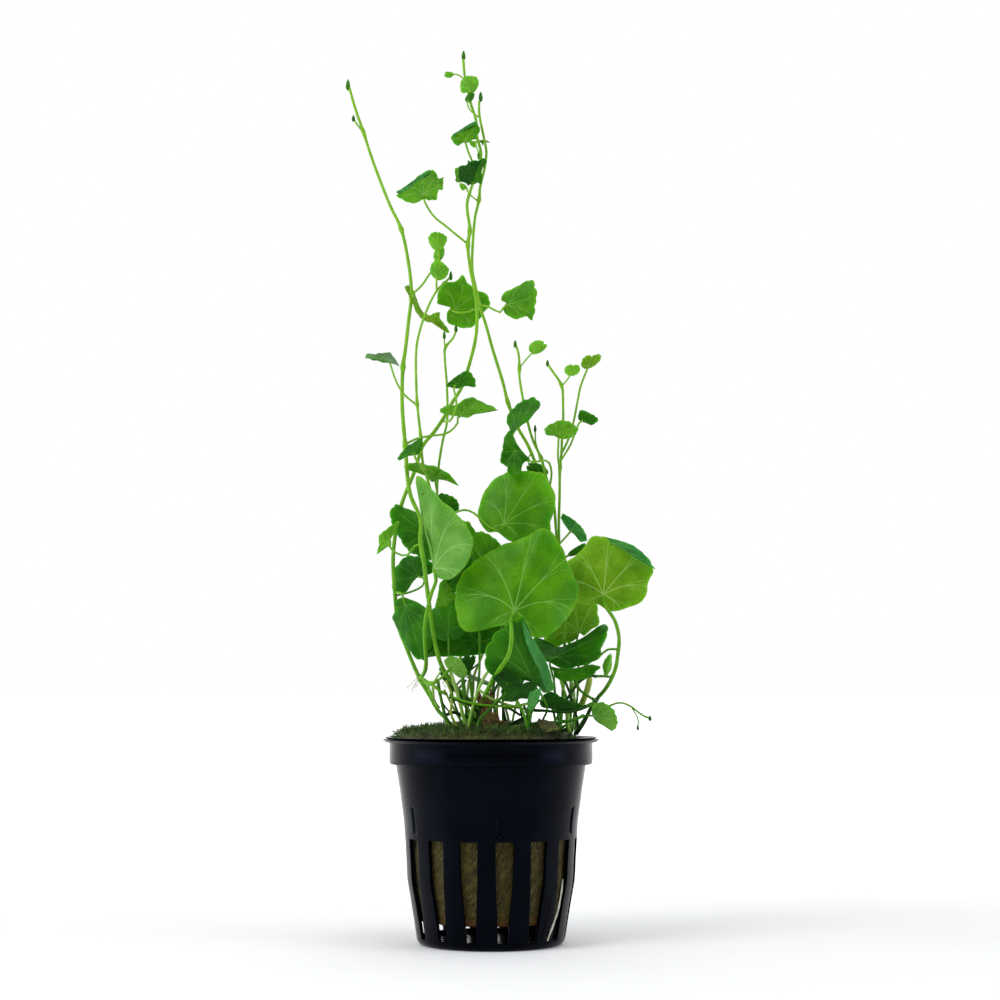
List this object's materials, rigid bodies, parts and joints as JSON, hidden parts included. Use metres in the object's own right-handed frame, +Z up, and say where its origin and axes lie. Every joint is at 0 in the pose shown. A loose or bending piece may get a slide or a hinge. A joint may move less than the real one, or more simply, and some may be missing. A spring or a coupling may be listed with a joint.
{
  "type": "potted japanese cress",
  "caption": "Bushy aquarium cress with thin stems and round lobed leaves, in a slotted black net pot with a wool plug and a moss top.",
  "frame": {"origin": "middle of the flat foot under the pot", "axes": "+Z up along the pot's axis; -Y is the front that the picture shows; +X to the right"},
  "size_m": [0.0769, 0.053, 0.2203],
  "materials": {
    "pot_plastic": "black moulded plastic, semi gloss",
    "mineral_wool": "olive mineral wool fibres, matt",
    "moss": "dark green moss, matt",
    "stem": "smooth green stem, satin",
    "leaf_blade": "thin fresh leaf, satin",
    "dead_leaf": "dry brown leaf, matt",
    "root": "pale root, matt"
  },
  "bodies": {
    "root": {"pot": "pot_plastic", "wool_plug": "mineral_wool", "moss": "moss", "stem_a": "stem", "stem_b": "stem", "stem_c": "stem", "stem_d": "stem", "stem_e": "stem", "stem_f": "stem", "stem_g": "stem", "right_stem": "stem", "right_runner": "stem", "long_runner": "stem", "leaf_01": "leaf_blade", "leaf_02": "leaf_blade", "leaf_03": "leaf_blade", "leaf_04": "leaf_blade", "leaf_05": "leaf_blade", "leaf_06": "leaf_blade", "leaf_07": "leaf_blade", "leaf_08": "leaf_blade", "leaf_09": "leaf_blade", "leaf_10": "leaf_blade", "leaf_11": "leaf_blade", "leaf_12": "leaf_blade", "leaf_13": "leaf_blade", "leaf_16": "leaf_blade", "leaf_17": "leaf_blade", "leaf_18": "leaf_blade", "leaf_19": "leaf_blade", "leaf_20": "leaf_blade", "leaf_21": "leaf_blade", "leaf_22": "leaf_blade", "leaf_23": "leaf_blade", "leaf_24": "leaf_blade", "leaf_25": "leaf_blade", "leaf_26": "leaf_blade", "leaf_27": "leaf_blade", "leaf_28": "leaf_blade", "leaf_29": "leaf_blade", "leaf_30": "leaf_blade", "leaf_31": "leaf_blade", "leaf_32": "leaf_blade", "leaf_33": "leaf_blade", "leaf_34": "leaf_blade", "leaf_35": "leaf_blade", "leaf_36": "leaf_blade", "leaf_37": "leaf_blade", "leaf_38": "leaf_blade", "leaf_39": "leaf_blade", "leaf_42": "leaf_blade", "leaf_43": "leaf_blade", "leaf_44": "leaf_blade", "leaf_45": "leaf_blade", "leaf_46": "leaf_blade", "leaf_48": "leaf_blade", "leaf_49": "leaf_blade", "brown_sheath": "dead_leaf", "dead_leaf": "dead_leaf", "hanging_root": "root"}
  },
  "joints": []
}
